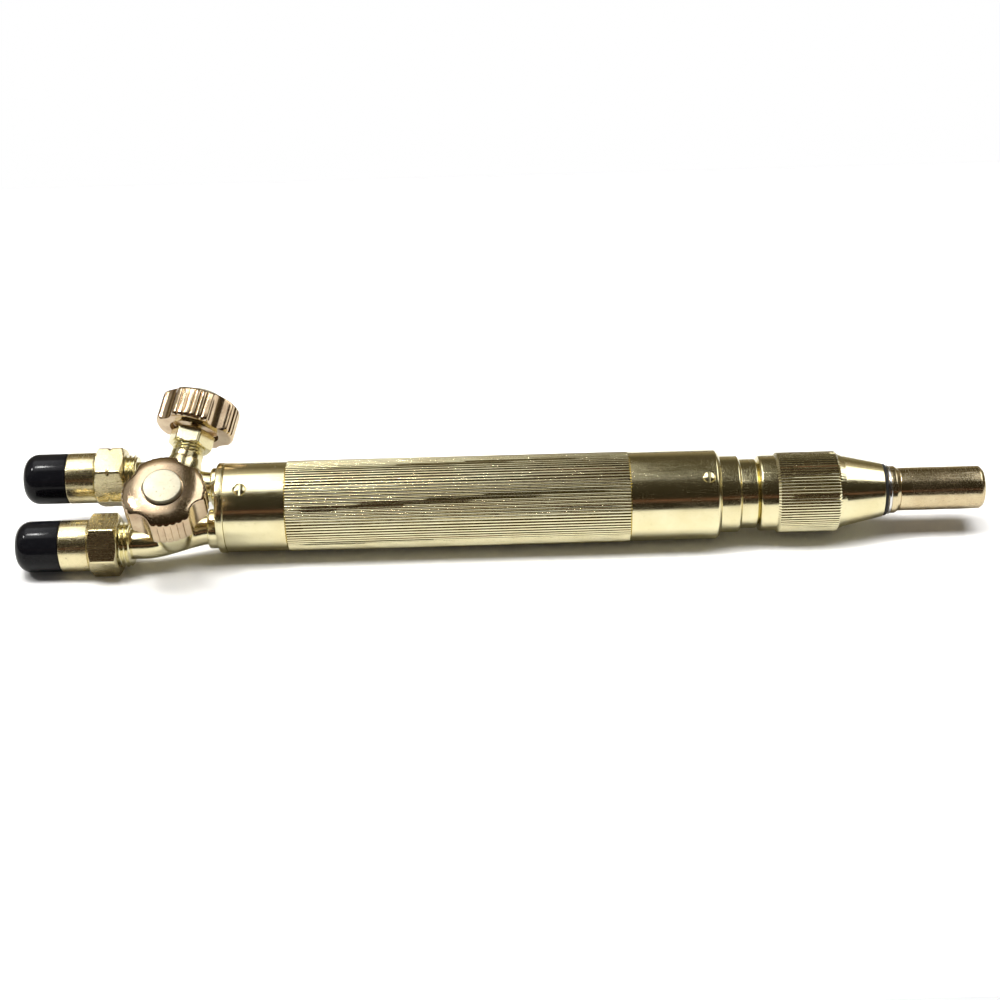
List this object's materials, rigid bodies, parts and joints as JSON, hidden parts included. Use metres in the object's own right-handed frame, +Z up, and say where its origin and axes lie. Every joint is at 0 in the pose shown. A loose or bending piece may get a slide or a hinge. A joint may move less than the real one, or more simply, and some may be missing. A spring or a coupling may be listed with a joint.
{
  "type": "lampwork torch",
  "caption": "Brass hand torch with a knurled handle, lobed valve knobs, capped check valves, a knurled coupling nut with a tapered nose, and a straight tip tube.",
  "frame": {"origin": "on the torch axis, in the middle of the plain band at the front of the handle", "axes": "+X along the torch axis towards the tip, +Z up as the torch lies at rest"},
  "size_m": [0.3047, 0.0712, 0.0448],
  "materials": {
    "polished_brass": "polished brass, worn along the edges",
    "satin_brass": "satin brass, finely turned",
    "tip_brass": "heat-stained brass",
    "knob_bronze": "polished cast bronze",
    "steel": "bright spring steel",
    "black_rubber": "black rubber",
    "black_vinyl": "glossy soft vinyl",
    "white_packing": "white packing"
  },
  "bodies": {
    "torch": {"handle_tube": "polished_brass", "handle_screws": "polished_brass", "rear_head": "polished_brass", "front_head": "polished_brass", "oxygen_feed_tube": "satin_brass", "fuel_feed_tube": "satin_brass", "oxygen_inlet_arm": "polished_brass", "oxygen_packing_nut": "satin_brass", "oxygen_packing_ring": "white_packing", "oxygen_gland_washer": "satin_brass", "oxygen_check_body": "satin_brass", "oxygen_swivel_nut": "satin_brass", "oxygen_swivel_ring": "steel", "oxygen_check_spring": "steel", "oxygen_spring_retainer": "satin_brass", "fuel_inlet_arm": "polished_brass", "fuel_packing_nut": "satin_brass", "fuel_packing_ring": "white_packing", "fuel_gland_washer": "satin_brass", "fuel_check_body": "satin_brass", "fuel_swivel_nut": "satin_brass", "fuel_swivel_ring": "steel", "fuel_check_spring": "steel", "fuel_spring_retainer": "satin_brass"},
    "tip": {"tip_body": "tip_brass", "tip_tube": "tip_brass", "tip_port_insert": "tip_brass", "gas_mixer": "satin_brass", "mixer_orings": "black_rubber", "tip_nose_oring": "black_rubber", "tip_retaining_ring": "steel"},
    "coupling_nut": {"coupling_nut": "polished_brass"},
    "oxygen_stem_ring": {"oxygen_stem_oring": "black_rubber"},
    "oxygen_valve": {"oxygen_valve_stem": "satin_brass", "oxygen_knob": "knob_bronze", "oxygen_knob_screw": "steel", "oxygen_knob_cap": "knob_bronze"},
    "oxygen_poppet": {"oxygen_check_poppet": "satin_brass", "oxygen_poppet_seal": "black_rubber"},
    "oxygen_cap": {"oxygen_thread_cap": "black_vinyl"},
    "fuel_stem_ring": {"fuel_stem_oring": "black_rubber"},
    "fuel_valve": {"fuel_valve_stem": "satin_brass", "fuel_knob": "knob_bronze", "fuel_knob_screw": "steel", "fuel_knob_cap": "knob_bronze"},
    "fuel_poppet": {"fuel_check_poppet": "satin_brass", "fuel_poppet_seal": "black_rubber"},
    "fuel_cap": {"fuel_thread_cap": "black_vinyl"}
  },
  "joints": [
    {"name": "oxygen_stem_rise", "type": "slide", "parent": "torch", "child": "oxygen_stem_ring", "axis": [0.0262, -0.4382, 0.8985], "range_m": [0, 0.00212]},
    {"name": "oxygen_knob_turn", "type": "hinge", "parent": "oxygen_stem_ring", "child": "oxygen_valve", "pos_m": [-0.15751, -0.00947, -0.00471], "axis": [0.0262, -0.4382, 0.8985], "range_deg": [0, 725]},
    {"name": "oxygen_poppet_lift", "type": "slide", "parent": "torch", "child": "oxygen_poppet", "axis": [1, 0, 0], "range_m": [0, 0.0015], "stiffness_N_per_m": 120, "springref_m": -0.002, "deforming": ["oxygen_check_spring"]},
    {"name": "oxygen_cap_pull", "type": "slide", "parent": "torch", "child": "oxygen_cap", "axis": [-1, 0, 0], "range_m": [0, 0.045]},
    {"name": "fuel_stem_rise", "type": "slide", "parent": "torch", "child": "fuel_stem_ring", "axis": [0.2334, 0.7867, 0.5715], "range_m": [0, 0.00212]},
    {"name": "fuel_knob_turn", "type": "hinge", "parent": "fuel_stem_ring", "child": "fuel_valve", "pos_m": [-0.15751, 0.00947, 0.00471], "axis": [0.2334, 0.7867, 0.5715], "range_deg": [0, 725]},
    {"name": "fuel_poppet_lift", "type": "slide", "parent": "torch", "child": "fuel_poppet", "axis": [1, 0, 0], "range_m": [0, 0.0015], "stiffness_N_per_m": 120, "springref_m": -0.002, "deforming": ["fuel_check_spring"]},
    {"name": "fuel_cap_pull", "type": "slide", "parent": "torch", "child": "fuel_cap", "axis": [-1, 0, 0], "range_m": [0, 0.045]},
    {"name": "tip_advance", "type": "slide", "parent": "torch", "child": "tip", "axis": [1, 0, 0], "range_m": [0, 0.00508]},
    {"name": "coupling_nut_turn", "type": "hinge", "parent": "tip", "child": "coupling_nut", "pos_m": [0.04, 0, 0], "axis": [1, 0, 0], "range_deg": [0, 1445]}
  ],
  "couplings": [
    {"joint": "oxygen_knob_turn", "follows": "oxygen_stem_rise", "rad_per_m": 5938.7},
    {"joint": "fuel_knob_turn", "follows": "fuel_stem_rise", "rad_per_m": 5938.7},
    {"joint": "coupling_nut_turn", "follows": "tip_advance", "rad_per_m": 4947.4}
  ]
}
